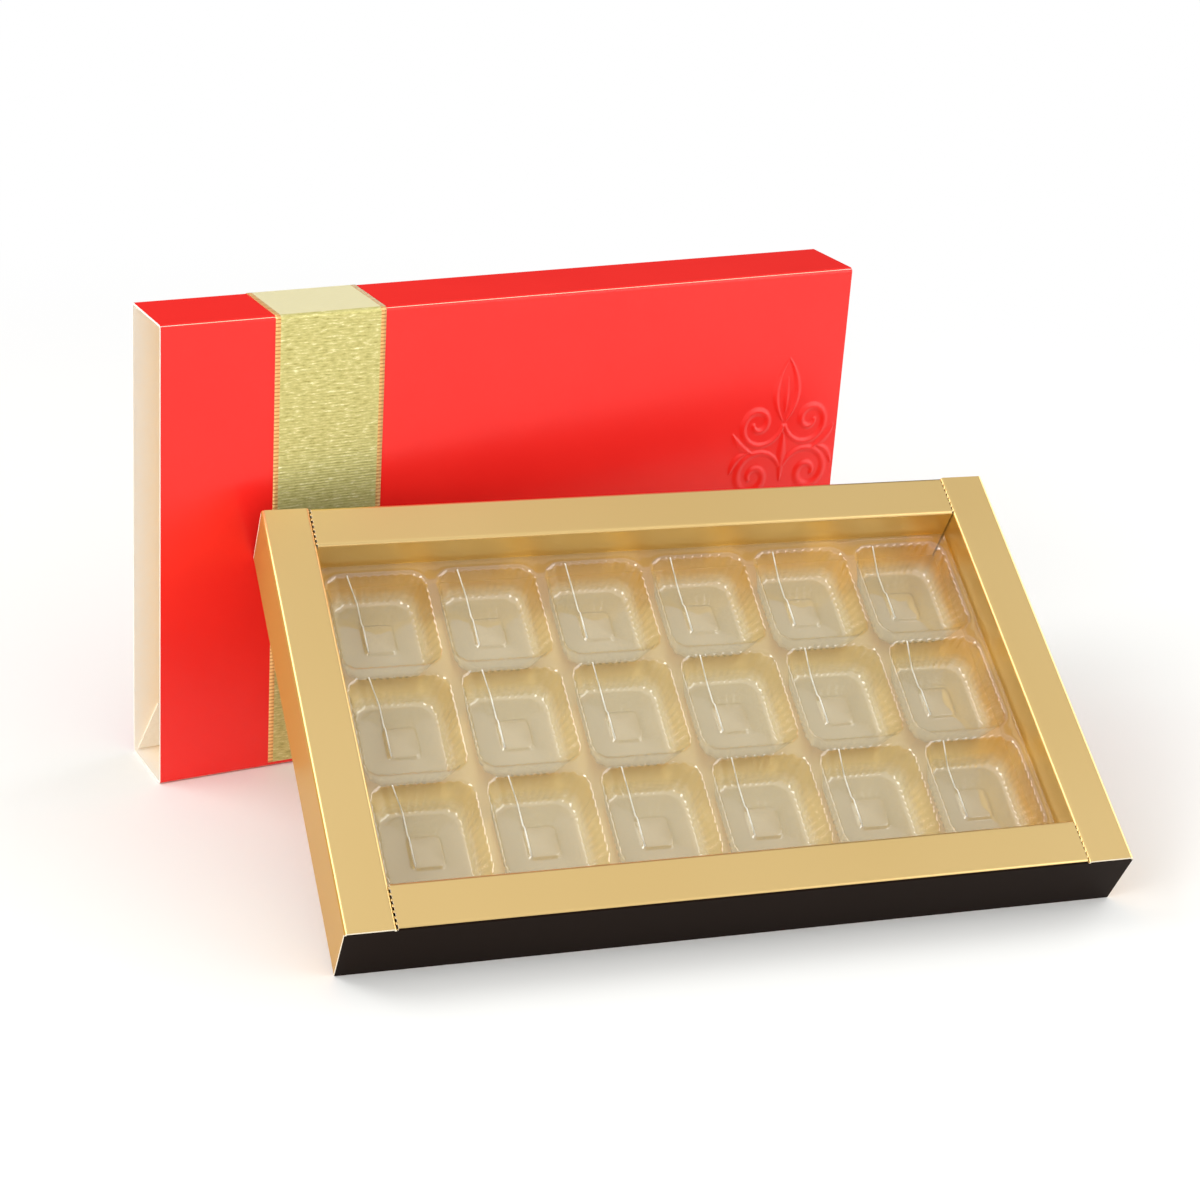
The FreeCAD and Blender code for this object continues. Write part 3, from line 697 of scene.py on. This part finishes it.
# %% Wrap one tile
def tile_spot(column):
    """Where a column leaves the tile: straight out, and at the middle of each corner into the tile's corner."""
    corner, facing = columns[column]
    if abs(math.degrees(facing) % 90 - 45) < 0.1:
        return Vector((corner.x * pitch[0] / 2, corner.y * pitch[1] / 2))
    start = ring_spot(column, (mouth[0] / 2, mouth[1] / 2), mouth_radius, 0)
    x, y = math.cos(facing), math.sin(facing)
    return start + Vector((x, y)) * min((pitch[i] / 2 - abs(start[i])) / abs(d) for i, d in ((0, x), (1, y))
                                        if abs(d) > 1e-9)


tile = bmesh.new()
rings = len(profile)
bmesh.ops.create_grid(tile, x_segments=len(columns), y_segments=rings, size=0.5)
for vert in tile.verts:
    column = round((vert.co.x + 0.5) * len(columns)) % len(columns)
    ring = round((0.5 - vert.co.y) * rings)
    if ring == 0:
        vert.co = (*tile_spot(column), rim.y)
    else:
        half, radius, height, flute = profile[ring - 1]
        vert.co = (*ring_spot(column, half, radius, flute), height)
bmesh.ops.remove_doubles(tile, verts=tile.verts, dist=0.001 * mm)
print("tile", len(tile.faces), "faces")

# %% Copy the tile, weld it and give it thickness
cups_along, cups_across = 6, 3
tray_middle_y = tray_width / 2
flange_half = (95.2 * mm, 53.65 * mm)
film_thickness = 0.2 * mm


def repeat_over_cups(mesh):
    """Copies what a bmesh holds to the place of every cup, and deletes the pattern."""
    pattern = mesh.faces[:]
    for column in range(cups_along):
        for row in range(cups_across):
            copied = bmesh.ops.duplicate(mesh, geom=pattern)["geom"]
            bmesh.ops.translate(mesh, verts=[g for g in copied if isinstance(g, bmesh.types.BMVert)], vec=(
                (column - (cups_along - 1) / 2) * pitch[0],
                tray_middle_y + (row - (cups_across - 1) / 2) * pitch[1],
                0,
            ))
    bmesh.ops.delete(mesh, geom=pattern, context="FACES")


repeat_over_cups(tile)
bmesh.ops.remove_doubles(tile, verts=tile.verts, dist=0.002 * mm)
# the outermost edges are drawn out to the edge of the flange
for vert in tile.verts:
    if vert.is_boundary:
        if abs(vert.co.x) > (cups_along / 2 - 0.01) * pitch[0]:
            vert.co.x = math.copysign(flange_half[0], vert.co.x)
        if abs(vert.co.y - tray_middle_y) > (cups_across / 2 - 0.01) * pitch[1]:
            vert.co.y = tray_middle_y + math.copysign(flange_half[1], vert.co.y - tray_middle_y)
bmesh.ops.recalc_face_normals(tile, faces=tile.faces)
if sum(face.normal.z for face in tile.faces) < 0:
    bmesh.ops.reverse_faces(tile, faces=tile.faces)
bmesh.ops.solidify(tile, geom=tile.faces[:], thickness=film_thickness)
bmesh.ops.transform(tile, matrix=tray_stand, verts=tile.verts)
print("insert", len(tile.faces), "faces")

# %% [markdown]
# ## Clear PET film
# Thin film hardly bends what is behind it, so it needs no refraction: it lets light straight through, and mirrors a
# little, more at a glancing angle. A power of the angle to the surface gives that share, and it is the same from both
# sides. Towards the floors of the cups the film is hazy, as film is that was drawn over a blasted mould: there it
# scatters part of the light.

# %% Finish the film
haze_floor, haze_top = 1.2 * mm, 6.5 * mm          # heights between which the haze clears
most_haze, least_haze = 0.31, 0.025                # shares of the light that scatter
mirror_head_on, mirror_glancing, mirror_power = 0.085, 0.45, 4.0
clear_tint = linear("#FAFAF8")

film, tree, output = start_finish("clear_pet_film")
flat_place = place_on_tray(tree)
axes = add(tree, "ShaderNodeSeparateXYZ", {0: flat_place})
haze = add(tree, "ShaderNodeMapRange", {"Value": axes.outputs["Z"], "From Min": haze_floor, "From Max": haze_top,
                                        "To Min": most_haze, "To Max": least_haze}, interpolation_type="SMOOTHSTEP")
# the sheet thins unevenly as it is drawn, over about 6 mm
thinning = add(tree, "ShaderNodeTexNoise", {"Vector": flat_place, "Scale": 1 / (6 * mm), "Detail": 2.0})
wavy = add(tree, "ShaderNodeBump", {"Height": thinning.outputs["Fac"], "Strength": 0.2, "Distance": 0.1 * mm})
slant = add(tree, "ShaderNodeLayerWeight", {"Blend": 0.5, "Normal": wavy.outputs["Normal"]})
mirrored = add(tree, "ShaderNodeMath", {0: slant.outputs["Facing"], 1: mirror_power}, operation="POWER")
mirrored = add(tree, "ShaderNodeMath", {0: mirrored.outputs[0], 1: mirror_glancing, 2: mirror_head_on},
               operation="MULTIPLY_ADD")
clear = add(tree, "ShaderNodeBsdfTransparent", {"Color": clear_tint})
mirror = add(tree, "ShaderNodeBsdfAnisotropic", {"Color": (1, 1, 1, 1), "Roughness": 0.10,
                                                 "Normal": wavy.outputs["Normal"]})
milk = add(tree, "ShaderNodeBsdfDiffuse", {"Color": linear("#E2DABC")})
hazy = add(tree, "ShaderNodeMixShader", {0: haze.outputs["Result"], 1: clear.outputs[0], 2: milk.outputs[0]})
surface = add(tree, "ShaderNodeMixShader", {0: mirrored.outputs[0], 1: hazy.outputs[0], 2: mirror.outputs[0]})
tree.links.new(surface.outputs[0], output.inputs["Surface"])
insert = make_piece("moulded_insert", tile, "insert", film)
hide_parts("cup_insert")

# %% [markdown]
# ## A white line in each cup
# A thin white line runs from the back rim of every cup down its wall and over the floor to the island. It is a painted
# highlight: a white bead that stands in for a bright line of light. The bead is a small circle drawn out along the
# film from point to point, with the ends closed.

# %% Draw the white line along the film
white_line_radius, film_gap = 0.22 * mm, 0.1 * mm
white_line_top, white_line_foot = -7.8 * mm, -3.9 * mm     # along the tray, from the middle of the cup
white_line_path = [
    Vector((white_line_top + (white_line_foot - white_line_top) * (rim.y - height) / cup_depth, half[1], height + film_gap))
    for half, radius, height, flute in wall_rings
]
# then over the floor, up the island's edge and along it
white_line_path += [Vector((white_line_foot, y * mm, z * mm)) for y, z in ((6.0, 1.4), (4.6, 2.35), (-4.4, 2.35))]

white_line_mesh = bmesh.new()
bmesh.ops.create_circle(white_line_mesh, segments=8, radius=white_line_radius)
# the circle leans halfway between the wall and the floor, so that it stays round enough along both
bmesh.ops.rotate(white_line_mesh, cent=(0, 0, 0), matrix=Matrix.Rotation(math.radians(-45), 3, "X"), verts=white_line_mesh.verts)
bmesh.ops.translate(white_line_mesh, vec=white_line_path[0], verts=white_line_mesh.verts)
bmesh.ops.contextual_create(white_line_mesh, geom=white_line_mesh.edges[:])
front_ring = white_line_mesh.edges[:]
for here, there in zip(white_line_path, white_line_path[1:]):
    drawn = bmesh.ops.extrude_edge_only(white_line_mesh, edges=front_ring)["geom"]
    ends = [g for g in drawn if isinstance(g, bmesh.types.BMVert)]
    front_ring = [g for g in drawn if isinstance(g, bmesh.types.BMEdge) and all(v in ends for v in g.verts)]
    bmesh.ops.translate(white_line_mesh, vec=there - here, verts=ends)
bmesh.ops.contextual_create(white_line_mesh, geom=front_ring)
bmesh.ops.recalc_face_normals(white_line_mesh, faces=white_line_mesh.faces)
repeat_over_cups(white_line_mesh)
bmesh.ops.transform(white_line_mesh, matrix=tray_stand, verts=white_line_mesh.verts)
white_line_length = sum((there - here).length for here, there in zip(white_line_path, white_line_path[1:]))
print("white_line_mesh", round(white_line_length / mm, 1), "mm long")

# %% Finish the white line, a painted highlight
painted_highlight, tree, output = start_finish("painted_highlight_white")
place = add(tree, "ShaderNodeTexCoord")
# the painted highlight is stronger in some places than in others, over about 4 mm
highlight_patches = add(tree, "ShaderNodeTexNoise", {"Vector": place.outputs["Object"], "Scale": 1 / (4 * mm), "Detail": 3.0})
highlight_strength = add(tree, "ShaderNodeMapRange", {"Value": highlight_patches.outputs["Fac"], "From Min": 0.3, "From Max": 0.7,
                                           "To Min": 0.6, "To Max": 1.0})
clear_part = add(tree, "ShaderNodeBsdfTransparent", {"Color": clear_tint})
white_part = add(tree, "ShaderNodeBsdfPrincipled", {"Base Color": linear("#FFFDF4"), "Roughness": 0.2,
                                                 "Coat Weight": 0.5, "Coat Roughness": 0.1})
bead = add(tree, "ShaderNodeMixShader", {0: highlight_strength.outputs["Result"], 1: clear_part.outputs[0], 2: white_part.outputs[0]})
tree.links.new(bead.outputs[0], output.inputs["Surface"])
white_lines = make_piece("painted_highlight_lines", white_line_mesh, "insert", painted_highlight)
